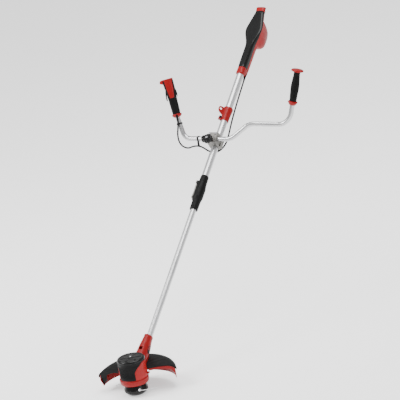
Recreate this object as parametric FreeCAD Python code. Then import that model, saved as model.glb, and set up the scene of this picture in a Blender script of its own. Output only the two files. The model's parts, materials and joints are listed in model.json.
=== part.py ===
import FreeCAD, Part
import math
import os
from FreeCAD import Vector as V

# Battery brush cutter: cutting head with the motor, splittable shaft, bike
# handle, harness bracket and rear battery housing.  Millimetres, +Z up along
# the spindle, +Y to the rear, origin in the middle of the bump foot.

os.makedirs("parts", exist_ok=True)

# ---- driving dimensions -------------------------------------------------
SHAFT_ANGLE = 36.0        # shaft over the cutting plane, degrees
SHAFT_Z = 59.0            # height where shaft axis meets spindle axis
LOWER_OD, LOWER_WALL = 25.0, 1.5
UPPER_OD, UPPER_WALL = 30.0, 1.6
BAR_OD, BAR_WALL = 20.0, 1.8
T_NECK = 198.0            # where the lower tube leaves the neck
T_COUPLING = (812.0, 977.0)
T_CLAMP = 1145.0
T_HARNESS = 1297.0
T_REAR = (1492.0, 1843.0)
BAR_N = 32.0              # bar axis above the shaft axis
SPOOL_R = 49.0
MOTOR_R = 57.0
GUARD_R = 168.0
CUT_CIRCLE_R = 150.0
CABLE_R = 3.5
LINE_R = 1.2
RUN = 0.05                # radial running clearance

X, Y, Z = V(1, 0, 0), V(0, 1, 0), V(0, 0, 1)
O = V(0, 0, 0)
NODES = []


def save(name, shape):
    if shape.ShapeType == "Compound" and len(shape.Solids) == 1:
        shape = shape.Solids[0]
    if not shape.isValid():
        shape = shape.copy()
        shape.fix(1e-5, 1e-5, 1e-3)
    print(name, "solids", len(shape.Solids), "valid", shape.isValid(), "vol", round(shape.Volume / 1000, 1))
    shape.exportStep("parts/%s.step" % name)
    NODES.append(name)


def loc(s):
    """Shaft frame (x, t, n) to the machine frame."""
    s = s.copy()
    s.rotate(O, X, SHAFT_ANGLE)
    s.translate(V(0, 0, SHAFT_Z))
    return s


def lv(x, t, n):
    a = math.radians(SHAFT_ANGLE)
    return V(x, t * math.cos(a) - n * math.sin(a), SHAFT_Z + t * math.sin(a) + n * math.cos(a))


def rev(pts, base=O, axis=Z, start=0.0, angle=360.0):
    """Closed (r, h) outline turned about an axis along Z, then laid on axis."""
    w = Part.makePolygon([V(r, 0, h) for r, h in pts] + [V(pts[0][0], 0, pts[0][1])])
    s = Part.Face(w).revolve(O, Z, angle)
    if start:
        s.rotate(O, Z, start)
    if axis != Z:
        rot = FreeCAD.Rotation(Z, axis)
        s.Placement = FreeCAD.Placement(base, rot).multiply(s.Placement)
    else:
        s.translate(base)
    return s


def cyl(r, p, d, h):
    return Part.makeCylinder(r, h, V(*p), V(*d))


def box(x0, x1, y0, y1, z0, z1):
    return Part.makeBox(x1 - x0, y1 - y0, z1 - z0, V(x0, y0, z0))


def prism(pts, vec):
    f = Part.Face(Part.makePolygon([V(*p) for p in pts] + [V(*pts[0])]))
    return f.extrude(V(*vec))


def fillet(s, r, sel=None):
    for rr in (r, r * 0.6, r * 0.35):
        try:
            es = [e for e in s.Edges if sel is None or sel(e)]
            f = s.makeFillet(rr, es)
            if f.isValid() and f.Volume > 0:
                return f
        except Exception:
            pass
    return s


def chamfer(s, r, sel=None):
    try:
        es = [e for e in s.Edges if sel is None or sel(e)]
        f = s.makeChamfer(r, es)
        if f.isValid() and f.Volume > 0:
            return f
    except Exception:
        pass
    return s


def arcs(pts, name="", radii=None):
    """Straight runs joined by tangent arcs; returns the wire and its length."""
    p = [V(*q) for q in pts]
    edges, cur, out = [], p[0], []
    for i in range(1, len(p) - 1):
        a, b = p[i] - p[i - 1], p[i + 1] - p[i]
        turn = a.getAngle(b)
        run = min(a.Length, b.Length)
        rad = 0.45 * run / math.tan(turn / 2) if radii is None else radii[i - 1]
        out.append(round(rad, 1))
        d = rad * math.tan(turn / 2)
        ua, ub = V(a).normalize(), V(b).normalize()
        q1, q2 = p[i] - ua * d, p[i] + ub * d
        bis = (ub - ua).normalize()
        c = p[i] + bis * (rad / math.cos(turn / 2))
        m = c + (p[i] - c).normalize() * rad
        edges.append(Part.LineSegment(cur, q1).toShape())
        edges.append(Part.Arc(q1, m, q2).toShape())
        cur = q2
    edges.append(Part.LineSegment(cur, p[-1]).toShape())
    w = Part.Wire(edges)
    if name:
        print(name, "radii", out, "length", round(w.Length, 1))
    return w


def pipe(wire, r):
    e = wire.OrderedEdges[0]
    t = e.tangentAt(e.FirstParameter)
    c = Part.Wire(Part.makeCircle(r, e.valueAt(e.FirstParameter), t))
    s = wire.makePipeShell([c], True, True)
    if name_vol:
        print("   volume", round(s.Volume), "expected", round(math.pi * r * r * wire.Length))
    return s


name_vol = True


def ellipse(cx, a, b, nb, place):
    """Ellipse wire in a plane, given by a placement function of (u, v)."""
    pts = []
    for i in range(24):
        w = 2 * math.pi * i / 24
        pts.append(place(cx + a * math.cos(w), nb + b * math.sin(w)))
    c = Part.BSplineCurve()
    c.interpolate(pts, PeriodicFlag=True)
    return Part.Wire(c.toShape())


def pframe(origin, zdir, xhint):
    z = V(zdir).normalize()
    x = (V(xhint) - z * V(xhint).dot(z)).normalize()
    y = z.cross(x)
    m = FreeCAD.Matrix(x.x, y.x, z.x, origin.x, x.y, y.y, z.y, origin.y, x.z, y.z, z.z, origin.z, 0, 0, 0, 1)
    return FreeCAD.Placement(m)


def put(s, pl):
    s = s.copy()
    s.Placement = pl.multiply(s.Placement)
    return s


# ======================= spool and bump head ==============================
SP_A = -42.0   # bearing of the first line eyelet, degrees
drum = rev([(5, 30), (5, 48), (13, 48), (13, 44), (38, 44), (42, 42), (45, 35), (49, 25), (49, 17),
            (45, 17), (45, 24), (41.5, 33), (38, 40.5), (13, 40.5), (13, 30)])
eye = rev([(LINE_R, 41.5), (LINE_R, 51), (5.5, 51), (5.5, 49.4), (4, 49.4), (4, 41.5)], V(0, 0, 30), X)
eyes = []
for k in (0, 180):
    e = eye.copy()
    e.rotate(O, Z, SP_A + k)
    eyes.append(e)
    h = cyl(4, (38, 0, 30), (1, 0, 0), 14)
    h.rotate(O, Z, SP_A + k)
    drum = drum.cut(h)
# grip dimples round the drum
for k in range(12):
    a = math.radians(SP_A + 15 + 30 * k)
    drum = drum.cut(cyl(5, (52.5 * math.cos(a), 52.5 * math.sin(a), 15), (0, 0, 1), 20))
save("spool_drum", drum)
save("line_eyelets", Part.makeCompound(eyes))
cap = rev([(27.5, 3.5), (37, 3.5), (46, 12), (49, 16.5), (49, 17), (45, 17), (45, 20), (42.8, 20),
           (42.8, 14.5), (36, 7.5), (27.5, 7.5)])
for k in range(12):
    a = math.radians(SP_A + 15 + 30 * k)
    cap = cap.cut(cyl(5, (52.5 * math.cos(a), 52.5 * math.sin(a), 5), (0, 0, 1), 12))
save("spool_cap", cap)
save("bump_button", rev([(0, 0), (20, 0), (25, 2.5), (27, 6), (27, 8), (31, 8), (31, 10.5), (0, 10.5)]))
save("line_reel", rev([(14.5, 10.5), (36, 10.5), (36, 13), (20, 13), (20, 27), (36, 27), (36, 29.5),
                       (17, 29.5), (17, 13), (14.5, 13)]))
save("line_winding", rev([(20, 13), (34, 13), (34, 27), (20, 27)]))
turns = []
for k in range(15):                       # quarter turns, so the mesh follows the coil
    q = Part.makeHelix(4.6, 1.15, 10)
    q.rotate(O, Z, 90 * k)
    q.translate(V(0, 0, 11.7 + 1.15 * k))
    turns += q.Edges
sc = Part.Wire(Part.makeCircle(0.9, V(10, 0, 11.7), V(0, 1, 0.073)))
save("bump_spring", Part.Wire(turns).makePipeShell([sc], True, True))

line_route = [(40, 0, 30), (57, 0, 30), (66, 22, 30), (69.5, 45, 29), (70.5, 66, 27)]
for nm, k in (("trimmer_line_a", 0), ("trimmer_line_b", 180)):
    a = math.radians(SP_A + k)
    rt = [(x * math.cos(a) - y * math.sin(a), x * math.sin(a) + y * math.cos(a), z) for x, y, z in line_route]
    save(nm, pipe(arcs(rt, nm), LINE_R))

# ======================= motor ============================================
save("spindle", rev([(0, 24), (5, 24), (5, 132.6), (0, 132.6)]))
rotor = rev([(5, 86), (22, 86), (22, 118), (5, 118)])
save("rotor", rotor)
stator = rev([(34, 84), (42, 84), (42, 120), (34, 120)])
for k in range(12):
    t = box(22.6, 35, -2.4, 2.4, 86, 118)
    t = t.common(rev([(22.6, 80), (34.5, 80), (34.5, 124), (22.6, 124)]))
    t = t.fuse(box(25, 33.6, -4.6, 4.6, 84.5, 119.5))
    t.rotate(O, Z, 30 * k)
    stator = stator.fuse(t)
save("stator", stator)
save("motor_bearings", Part.makeCompound([
    rev([(5 + RUN, 64), (11, 64), (11, 72), (5 + RUN, 72)]),
    rev([(5 + RUN, 125), (11, 125), (11, 133), (5 + RUN, 133)])]))
ring = rev([(11, 62), (11, 72), (15, 72), (15, 66), (53, 66), (53, 74), (57, 74), (60, 70), (60, 60), (57, 50),
            (53.5, 50), (53.5, 62)])
save("base_ring", ring)

# dividing surface between the black cap with its front panel and the red shells
front = prism([(-36.4, -80, 73), (36.4, -80, 73), (36.4, -80, 108), (44, -80, 122), (52, -80, 133), (56.2, -80, 143), (70, -80, 144), (70, -80, 170),
               (-70, -80, 170), (-70, -80, 144), (-56.2, -80, 143), (-52, -80, 133), (-44, -80, 122), (-36.4, -80, 108)], (0, 82, 0))
wall = rev([(54, 74), (57, 74), (57, 143), (54, 143)])
dome = rev([(0, 155), (40, 154), (52, 150.5), (54, 147), (54, 143), (56, 143), (56, 145.2), (57.3, 146.6),
            (56.5, 152), (53, 156), (42, 158), (0, 158.6)]).fuse(rev([(11, 125), (11, 155.5), (15, 155.5), (15, 125)]))
dome = dome.fuse(rev([(0, 133), (0, 136), (11.5, 136), (11.5, 133)]))

# neck, in the shaft frame
secs = [(56, 35, -16, 44), (74, 33, -24, 43), (97, 28.5, -25, 38), (130, 24.5, -23, 34), (165, 20.5, -19, 31), (T_NECK, 17.5, -16.8, 28)]


def neck_loft(off, t0=None):
    ws = []
    for t, a, lo, hi in secs:
        ws.append(ellipse(0, a - off, (hi - lo) / 2 - off, (hi + lo) / 2, lambda u, w, t=t: V(u, t, w)))
    return Part.makeLoft(ws, True, False)


neck = neck_loft(0).fuse(prism([(-9, 66, 30), (-9, 66, 52), (-9, 74, 53), (-9, 108, 33), (-9, 108, 25)], (18, 0, 0)))
neck_out = loc(neck)
motor_can = rev([(0, 60), (57, 60), (57, 143.2), (57.5, 160), (0, 160)])
neck_red = loc(neck.cut(neck_loft(3.2).common(box(-60, 60, 40, 104, -60, 60)))
               .cut(cyl(LOWER_OD / 2, (0, 100, 0), (0, 1, 0), 120))
               .cut(cyl(6, (0, 60, 0), (0, 1, 0), 60))
               .cut(box(-7, 7, 122, 136, 21, 40))
               .cut(box(21.2, 40, 124, 160, 2, 4.4)).cut(box(-40, -21.2, 124, 160, 2, 4.4)))
neck_red = neck_red.cut(motor_can)
port = loc(cyl(8, (0, 40, 0), (0, 1, 0), 60))
wall_red = wall.cut(front).cut(port)
lug = box(50, 62, 16, 24, 78, 86)
lug.rotate(O, Z, 6)
lug = fillet(lug, 1.5).cut(rev([(0, 60), (56.9, 60), (56.9, 100), (0, 100)]))
lug2 = lug.mirror(O, X)
red = wall_red.fuse([neck_red, lug, lug2])
# neck screws cross the two halves
scr = []
for t, n, h in ((116, 19.5, 20), (150, 15.8, 14)):
    scr.append(cyl(1.8, (-h, t, n), (1, 0, 0), 2 * h).fuse(cyl(3.4, (h - 1.5, t, n), (1, 0, 0), 3)))
cut_scr = [loc(s) for s in scr]
for s in cut_scr:
    red = red.cut(s)
hexes = rev([(0, 158.6), (4.2, 158.6), (4.2, 160.6), (3, 161.4), (0, 161.4)])
guard_scr = []
for a, zg in ((48, 97), (75, 100), (135, 95), (162, 87)):
    g = cyl(2, (54, 0, zg), (1, 0, 0), 7).fuse(cyl(4, (60, 0, zg), (1, 0, 0), 2.6))
    g.rotate(O, Z, a)
    guard_scr.append(g)
for s in guard_scr:
    red = red.cut(s)
left = red.common(box(-200, 0, -200, 300, 0, 300))
right = red.common(box(0, 200, -200, 300, 0, 300))
save("head_shell_left", left)
save("head_shell_right", right)
capm = wall.common(front).fuse(dome)
for k in range(7):
    a = -90 + (k - 3) * 9.5
    v = box(50, 60, -1.3, 1.3, 86, 126)
    v.rotate(O, Z, a)
    capm = capm.cut(v)
capm = capm.cut(neck_out.common(rev([(57.0, 0), (90, 0), (90, 200), (57.0, 200)])))
save("motor_cap", capm)
save("cap_screw", hexes)
save("neck_screws", Part.makeCompound(cut_scr))

# ======================= guard ============================================
G0, G1 = 28.0, 182.0


def deck_z(phi):
    u = (phi - 105.0) / 77.0
    return 108 - 16 * u * u - 7 * u


def gsec(kind, phi):
    u = (phi - 105.0) / 77.0
    z0 = deck_z(phi)
    zr = z0 - 18 - 6 * u * u
    dr = 8 * max(0.0, -u) ** 1.5          # the right wing reaches a little further out
    if kind == "deck":
        p = [(55.5, z0), (100, z0 + 3), (140, z0 + 2), (158, z0 - 4), (167, z0 - 14), (168, zr),
             (165.2, zr), (164, z0 - 14), (156, z0 - 7.4), (140, z0 - 1), (100, z0), (60, z0 - 3), (60, z0 - 14), (55.5, z0 - 14)]
    else:
        zb = 31 + (10 * u * u if u < 0 else -7 * u * u)
        rb = 158.5 - (10 * u ** 4 if u > 0 else 0)
        zt = z0 - 15
        p = [(148, zt + 5), (157, zt + 1), (161.5, zt - 3), (162.5, (zt + zb) / 2), (rb + 3, zb), (rb + 0.2, zb),
             (159.7, (zt + zb) / 2), (158.5, zt - 3.5), (155.5, zt - 1), (148, zt + 2.4)]
    a = math.radians(phi)
    q = [V((r + dr * max(0, r - 62) / 100) * math.cos(a), (r + dr * max(0, r - 62) / 100) * math.sin(a), z) for r, z in p]
    return Part.makePolygon(q + [q[0]])


def gloft(kind, n=11, a0=G0, a1=G1):
    return Part.makeLoft([gsec(kind, a0 + (a1 - a0) * i / (n - 1)) for i in range(n)], True, False)


deck = Part.makeLoft([gsec("deck", G0 + (G1 - G0) * i / 22) for i in range(23)], True, True)
deck = deck.cut(rev([(0, 40), (MOTOR_R, 40), (MOTOR_R, 160), (0, 160)]))
notch = Part.Face(Part.Wire(Part.Ellipse(V(0, 114.5, 60), V(37, 62, 60), V(0, 62, 60)).toShape())).extrude(V(0, 0, 100))
deck = deck.cut(notch)
print("deck and neck share", round(deck.common(neck_out).Volume, 2))
for s in guard_scr:
    deck = deck.cut(s)
deck = deck.cut(lug).cut(lug2)
save("guard_deck", max(deck.Solids, key=lambda q: q.Volume))
save("guard_screws", Part.makeCompound(guard_scr))
skirt = gloft("skirt")
fin = prism([(138, 0, 40), (138, 0, 66), (159, 0, 74), (159, 0, 30), (150, 0, 27)], (0, 3, 0))
fin.rotate(O, Z, 178.6)
skirt = skirt.fuse(fin)
# red lip along the front edge of the right wing
zl = deck_z(G0 + 2)
lip = prism([(64, 0, zl - 4.2), (100, 0, zl - 1.6), (140, 0, zl - 2.6), (155, 0, zl - 9.5), (160, 0, zl - 14), (160, 0, zl - 30), (140, 0, zl - 16), (100, 0, zl - 13), (64, 0, zl - 14)], (0, 3, 0))
lip.rotate(O, Z, G0 + 0.3)
skirt = skirt.fuse(lip)
skirt = skirt.cut(loc(neck_loft(-1)))
save("guard_skirt", skirt)
blade = prism([(134, 0, 46), (134, 0, 50), (146, 0, 64), (155, 0, 64), (155, 0, 44), (140, 0, 42)], (0, -1.6, 0))
blade.rotate(O, Z, 178.6)
save("line_cutter", blade)

# ======================= tubes and coupling ===============================
c0, c1 = T_COUPLING
lower = loc(cyl(LOWER_OD / 2, (0, 100, 0), (0, 1, 0), 789).cut(cyl(LOWER_OD / 2 - LOWER_WALL, (0, 90, 0), (0, 1, 0), 810))
            .cut(box(-20, 0, 861, 900, -3.6, 3.6)))
save("lower_tube", lower)
plug = cyl(LOWER_OD / 2 - LOWER_WALL, (0, 845, 0), (0, 1, 0), 44).fuse(cyl(8, (0, 889, 0), (0, 1, 0), 14))
save("shaft_plug", loc(chamfer(plug, 0.8, lambda e: e.CenterOfMass.y > 902)))
save("lower_lead", loc(cyl(3, (0, 72, 0), (0, 1, 0), 773)))
upper = cyl(UPPER_OD / 2, (0, 893, 0), (0, 1, 0), 1560 - 893).cut(cyl(UPPER_OD / 2 - UPPER_WALL, (0, 890, 0), (0, 1, 0), 700))
save("upper_tube", loc(upper))
save("shaft_socket", loc(cyl(UPPER_OD / 2 - UPPER_WALL, (0, 893, 0), (0, 1, 0), 34).cut(cyl(8.5, (0, 892, 0), (0, 1, 0), 12.6))))


def revt(pts):
    """Closed (r, t) outline turned about the shaft axis, in the shaft frame."""
    w = Part.makePolygon([V(r, t, 0) for r, t in pts] + [V(pts[0][0], pts[0][1], 0)])
    return Part.Face(w).revolve(O, Y, 360)


body = revt([(LOWER_OD / 2 + RUN, c0), (16.6, c0), (17.6, c0 + 4), (17.8, c0 + 30), (18.4, c0 + 46), (21.5, c0 + 62), (21.5, c0 + 104),
             (18.5, c0 + 124), (17.8, c0 + 140), (17.2, c1 - 3), (16.4, c1), (15, c1), (15, c0 + 80), (13, c0 + 78),
             (LOWER_OD / 2 + RUN, c0 + 77)])
LEV = (-24.2, 945.0)
for sgn in (1, -1):
    n0, n1 = (6.4, 10.2) if sgn > 0 else (-10.2, -6.4)
    ear = box(-28, -12, 938, 952, n0, n1)
    ear = fillet(ear, 3, lambda e: abs(e.tangentAt(e.FirstParameter).z) > 0.9 and e.CenterOfMass.x < -20)
    body = body.fuse(ear.cut(cyl(16, (0, 900, 0), (0, 1, 0), 90)))
body = body.cut(box(-30, 0, 862, 869, -3.4, 3.4).common(cyl(3 + RUN, (-30, 865, 0), (1, 0, 0), 30)))
body = body.cut(cyl(5.6, (-30, 865, 0), (1, 0, 0), 9.8))
body = body.cut(cyl(2 + RUN, (LEV[0], LEV[1], -12), (0, 0, 1), 24))
body = body.cut(box(-22.6, -19.2, 870, 952, -6.3, 6.3).common(cyl(25, (0, 860, 0), (0, 1, 0), 100)).common(box(-30, -18, 934, 956, -6.3, 6.3)))
for k in range(4):
    body = body.cut(box(-30, 30, 822 + 7 * k, 824 + 7 * k, 16.6, 20)).cut(box(-30, 30, 822 + 7 * k, 824 + 7 * k, -20, -16.6))
save("coupling_body", loc(body))
lev = prism([(-27.8, 940, -6), (-22.4, 940, -6), (-22.4, 884, -6), (-24.5, 874, -6), (-28.2, 870, -6), (-29.2, 872, -6), (-27, 890, -6)], (0, 0, 12))
lev = lev.fuse(cyl(3.6, (LEV[0], LEV[1], -6), (0, 0, 1), 12)).fuse(box(-27.8, -22.4, 939, 945, -6, 6))
lev = lev.fuse(cyl(2, (LEV[0], LEV[1], -10.2), (0, 0, 1), 20.4))
save("coupling_lever", loc(lev))
save("lock_pin", loc(cyl(3, (-21.6, 865, 0), (1, 0, 0), 8.6).fuse(cyl(5, (-23.4, 865, 0), (1, 0, 0), 3))))

# ======================= handlebar clamp ==================================
tc = T_CLAMP
tubecut = cyl(UPPER_OD / 2, (0, tc - 60, 0), (0, 1, 0), 120)
barcut = cyl(BAR_OD / 2 + RUN, (-60, tc, BAR_N), (1, 0, 0), 120)
KX, KT = -10.0, tc - 17.0


def vert(e):
    return abs(e.tangentAt(e.FirstParameter).z) > 0.95


clb = fillet(box(-24, 24, tc - 25, tc + 25, 0.2, BAR_N - 0.2), 6, vert)
clb = clb.fuse(fillet(box(-27, 27, tc - 23, tc + 23, 0.2, 9), 5, vert))
clb = clb.cut(tubecut).cut(barcut)
jaw = fillet(box(-24, 24, tc - 25, tc + 25, BAR_N + 0.2, 48), 6, vert)
jaw = chamfer(jaw, 3, lambda e: e.CenterOfMass.z > 47.5)
jaw = jaw.cut(barcut)
cll = fillet(box(-27, 27, tc - 23, tc + 23, -10, -0.2), 5, vert).fuse(cyl(21, (0, tc - 23, 0), (0, 1, 0), 46).common(box(-30, 30, tc - 30, tc + 30, -30, -0.2)))
cll = cll.cut(tubecut)
bolts = []
for sx in (-1, 1):
    for st in (-1, 1):
        b = cyl(2.4, (21.5 * sx, tc + 15.5 * st, -10), (0, 0, 1), 19).fuse(cyl(4.2, (21.5 * sx, tc + 15.5 * st, -13), (0, 0, 1), 3))
        bolts.append(b)
for sx in (-1, 1):
    h = Part.Face(Part.makePolygon([V(5.2 * math.cos(math.radians(60 * i)) + 13.5 * sx, 5.2 * math.sin(math.radians(60 * i)) + tc + 17, 48) for i in range(7)])).extrude(V(0, 0, 3.6))
    bolts.append(cyl(2.5, (13.5 * sx, tc + 17, 20), (0, 0, 1), 28).fuse(h))
for b in bolts:
    clb, jaw, cll = clb.cut(b), jaw.cut(b), cll.cut(b)
kh = cyl(3 + RUN, (KX, KT, 17), (0, 0, 1), 60)
clb, jaw = clb.cut(kh), jaw.cut(kh)
save("clamp_base", loc(clb))
save("clamp_lower", loc(cll))
save("bar_jaw", loc(jaw))
save("clamp_screws", loc(Part.makeCompound(bolts)))
knob = rev([(3, 48.4), (12, 48.4), (13, 51), (20, 53), (21.4, 55), (21.4, 64), (19, 68), (9, 69.5), (7, 67.5), (3, 67.5)])
for k in range(9):
    a = math.radians(40 * k)
    knob = knob.cut(cyl(4.2, (24 * math.cos(a), 24 * math.sin(a), 50), (0, 0, 1), 22))
knob.translate(V(KX, KT, 0))
save("clamp_knob", loc(knob))
kb = cyl(3, (KX, KT, 18), (0, 0, 1), 49.5).fuse(
    Part.Face(Part.makePolygon([V(5.6 * math.cos(math.radians(60 * i)) + KX, 5.6 * math.sin(math.radians(60 * i)) + KT, 67.5) for i in range(7)])).extrude(V(0, 0, 4)))
save("knob_bolt", loc(kb))

# ======================= handlebar ========================================
B0 = lv(0, tc, BAR_N)


def bo(x, y, z):
    return (B0.x + x, B0.y + y, B0.z + z)


GL0, GL1 = (-175, 27, 100), (-212, 60, 246)
GR0, GR1 = (356, 85, 128), (390, 115, 269)
ul = (V(*GL1) - V(*GL0)).normalize()
ur = (V(*GR1) - V(*GR0)).normalize()
lend = V(*GL0) + ul * 55
rend = V(*GR0) + ur * 137.5
lk = V(*GL0) - ul * 18
rk = V(*GR0) - ur * 62
bar_pts = [bo(*lend), bo(*lk), bo(-140, 1, -1), bo(0, 0, 0)]
bar_route = [bo(*lend), bo(lk.x, lk.y, lk.z), bo(-138, 0, 0), bo(84, 0, 0), bo(160, 40, 54), bo(303, 67, 43), bo(*(rk)), bo(*rend)]
bar_wire = arcs(bar_route, "handlebar", [60, 38, 60, 60, 55, 60])
outer = pipe(bar_wire, BAR_OD / 2)
inner = pipe(bar_wire, BAR_OD / 2 - BAR_WALL)
save("handlebar_tube", outer.cut(inner))
sleeve = rev([(10, -51), (14, -51), (15, -49), (15, -29), (14, -27), (10, -27)], V(0, 0, 0), X)
for k in range(3):
    sleeve = sleeve.cut(rev([(13.6, -34 - 6 * k), (16, -34 - 6 * k), (16, -36.5 - 6 * k), (13.6, -36.5 - 6 * k)], O, X))
sleeve.translate(B0)
save("bar_sleeve", sleeve)

# right grip
PR = pframe(V(*bo(*GR0)), ur, V(0, -1, 0))
grip = rev([(10, 12), (15.5, 12), (15.2, 22), (16.4, 40), (18, 62), (17.8, 80), (15.6, 102), (13.6, 120), (13.6, 136), (10, 136)])
save("right_grip", put(grip, PR))
save("right_grip_flange", put(rev([(0, 137.5), (10, 137.5), (10, 136), (14, 136), (24.5, 139.5), (26.2, 142), (26, 144.6), (20, 147.6), (0, 149)]), PR))
save("right_collar", put(rev([(10, -5), (13, -5), (16, -1), (20.5, 7), (20.5, 9.5), (16, 12), (10, 12)]), PR))

# left trigger grip
PL = pframe(V(*bo(*GL0)), ul, V(-0.85, -0.5, 0))
gs = [(0, 16.5, 16.5, 16.5), (14, 17.5, 17.5, 17.5), (55, 18.5, 18.5, 18), (80, 20, 20, 19), (112, 22, 22, 20), (140, 24, 22, 21), (152, 24, 22, 21)]


def gw(z, ap, an, b, off=0.0):
    pts = []
    for i in range(28):
        w = 2 * math.pi * i / 28
        cx, sy = math.cos(w), math.sin(w)
        a = (ap if cx > 0 else an) - off
        k = 2.6
        rr = (abs(cx / a) ** k + abs(sy / (b - off)) ** k) ** (-1 / k)
        pts.append(V(rr * cx, rr * sy, z))
    c = Part.BSplineCurve()
    c.interpolate(pts, PeriodicFlag=True)
    return Part.Wire(c.toShape())


gbody = Part.makeLoft([gw(*q) for q in gs], True, False)
gcav = Part.makeLoft([gw(z, a, an, b, 3.0) for z, a, an, b in gs], True, False).common(box(-40, 40, -40, 40, 56.5, 146))
beak = prism([(10, -9, 134), (22, -9, 132), (35, -9, 138), (36.5, -9, 143), (33, -9, 150), (24, -9, 152), (10, -9, 152)], (0, 18, 0))
beak = fillet(beak, 3, lambda e: e.CenterOfMass.x > 26)
inl = prism([(-9, 5, 70), (9, 5, 70), (13, 5, 100), (16, 5, 140), (16, 5, 146), (-17, 5, 146), (-15, 5, 110)], (0, 30, 0))
topslab = box(-40, 40, -40, 40, 146, 160)
inlay = gbody.common(inl).fuse(gbody.common(topslab)).fuse(beak.cut(gbody.common(box(-40, 40, -40, 40, 100, 146)))).cut(gcav)
shells = gbody.cut(gcav).cut(cyl(BAR_OD / 2, (0, 0, -5), (0, 0, 1), 60.5)).cut(inlay)
slot = box(10, 34, -7.6, 7.6, 56.5, 114)
lslot = box(-34, -10, -5.6, 5.6, 66, 112)
shells = shells.cut(slot).cut(lslot)
inlay = inlay.cut(slot).cut(lslot)
TP, LP = (14.0, 106.0), (-16.0, 104.0)
boss = []
for sy in (-1, 1):
    bx = box(10, 18, 7.6, 16, 101, 111) if sy > 0 else box(10, 18, -16, -7.6, 101, 111)
    boss.append(bx.common(gbody).cut(inlay))
    bl = box(-19, -12, 5.6, 15, 100, 108) if sy > 0 else box(-19, -12, -15, -5.6, 100, 108)
    boss.append(bl.common(gbody).cut(inlay))
shells = shells.fuse(boss)
th = cyl(2.2 + RUN, (TP[0], -11, TP[1]), (0, 1, 0), 22)
lh = cyl(1.8 + RUN, (LP[0], -9, LP[1]), (0, 1, 0), 18)
shells = shells.cut(th).cut(lh)
inlay = inlay.cut(th).cut(lh)
fs = shells.common(box(-60, 60, 0, 60, -10, 170))
rs = shells.common(box(-60, 60, -60, 0, -10, 170))
big = lambda s: max(s.Solids, key=lambda q: q.Volume)
save("grip_shell_front", put(big(fs), PL))
save("grip_shell_rear", put(big(rs), PL))
save("grip_inlay", put(big(inlay), PL))
collar_l = put(rev([(10, -14), (13.5, -14), (20, -8), (21, -3), (20, 0), (10, 0)]), PL)
trig = prism([(11, -6.8, 109), (17.5, -6.8, 110), (22.5, -6.8, 102), (25.6, -6.8, 84), (26.6, -6.8, 66), (24.6, -6.8, 61), (21.4, -6.8, 61.5),
              (21, -6.8, 82), (17.5, -6.8, 98), (11, -6.8, 102)], (0, 13.6, 0))
trig = fillet(trig, 1.2, lambda e: e.CenterOfMass.x > 22 and abs(e.CenterOfMass.y) > 6)
trig = trig.fuse(cyl(2.2, (TP[0], -10.6, TP[1]), (0, 1, 0), 21.2))
save("throttle_trigger", put(trig, PL))
lk_ = prism([(-13, -4.8, 107), (-18.5, -4.8, 108.5), (-23.6, -4.8, 102), (-25.2, -4.8, 84), (-23.6, -4.8, 71), (-21, -4.8, 70), (-19.5, -4.8, 84), (-18, -4.8, 97), (-13, -4.8, 101)], (0, 9.6, 0))
lk_ = lk_.fuse(cyl(1.8, (LP[0], -8.6, LP[1]), (0, 1, 0), 17.2))
save("lockoff_lever", put(lk_, PL))
sw = box(-7, 8, -6, 6, 62, 86).fuse(box(-5, -3, -3, 3, 86, 92)).fuse(box(3, 5, -3, 3, 86, 92)).fuse(box(-10, 10, -3, 3, 56.5, 62)).fuse(box(-7, 8, 6, 14.5, 70, 74)).fuse(box(-7, 8, -14.5, -6, 70, 74))
save("trigger_switch", put(sw.common(gbody), PL))

# ======================= control cable ====================================
up = [lv(12, 1512, -17), lv(16, 1472, -16), lv(18.5, 1400, -15), lv(22.5, 1330, -14), lv(27, 1260, -14), lv(35, 1190, -15),
      B0 + V(31, 35, -40), B0 + V(7, 12, -63), B0 + V(-28, 0, -60)]
lo_ = [(-62, -7, -30), (-98, -8, -30), (-130, -8, -43), (-163, -8, -25), (-169, -7, 14), (-161, -2, 53), (-160, 4, 83), (-167, 13, 101)]
route = up + [V(*bo(*q)) for q in lo_]
rads = []
for i in range(1, len(route) - 1):
    ra, rb = route[i] - route[i - 1], route[i + 1] - route[i]
    rads.append(0.45 * min(ra.Length, rb.Length) / math.tan(ra.getAngle(rb) / 2))
split = up[-1] + (route[len(up)] - up[-1]) * 0.49     # mid run, between the two parts of one cable
tri = lambda ps: [(q.x, q.y, q.z) for q in ps]
gap = (route[len(up)] - up[-1]).normalize() * 1.0     # the halves turn past each other when the bar tilts
up_w = arcs(tri(up + [split - gap]), "cable upper", rads[:len(up) - 1])
lo_w = arcs(tri([split + gap] + route[len(up):]), "cable lower", rads[len(up) - 1:])
save("cable_upper", pipe(up_w, CABLE_R))
save("cable_lower", pipe(lo_w, CABLE_R))
save("left_collar", big(collar_l.cut(pipe(lo_w, CABLE_R))))
ties = []
tie = rev([(10, -3), (12, -3), (12, 3), (10, 3)], O, X).fuse(box(-3, 3, -11.5, -4.5, -24, -8)).cut(cyl(10, (-10, 0, 0), (1, 0, 0), 20))
tie.translate(V(*bo(-72, 0, 0)))
e64 = cyl(5.2, bo(-75, -8, -27.6), (1, 0, 0), 6)
tie = tie.fuse(e64)
tie = tie.cut(pipe(lo_w, CABLE_R))
ties.append(big(tie))
ax2 = V(-32.7, 23.1, 83)
p2 = V(-138, 0, 0) + ax2 * 0.72          # on the rising left arm
T2 = pframe(B0 + p2, ax2, V(2.4, -17, 0))
tie2 = rev([(10, -3), (12, -3), (12, 3), (10, 3)]).fuse(box(10.5, 20.5, -4.4, 4.4, -3, 3)).cut(cyl(10, (0, 0, -10), (0, 0, 1), 20))
tie2 = put(tie2, T2).cut(pipe(lo_w, CABLE_R)).cut(outer)
ties.append(big(tie2))
save("cable_ties", Part.makeCompound(ties))

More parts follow.
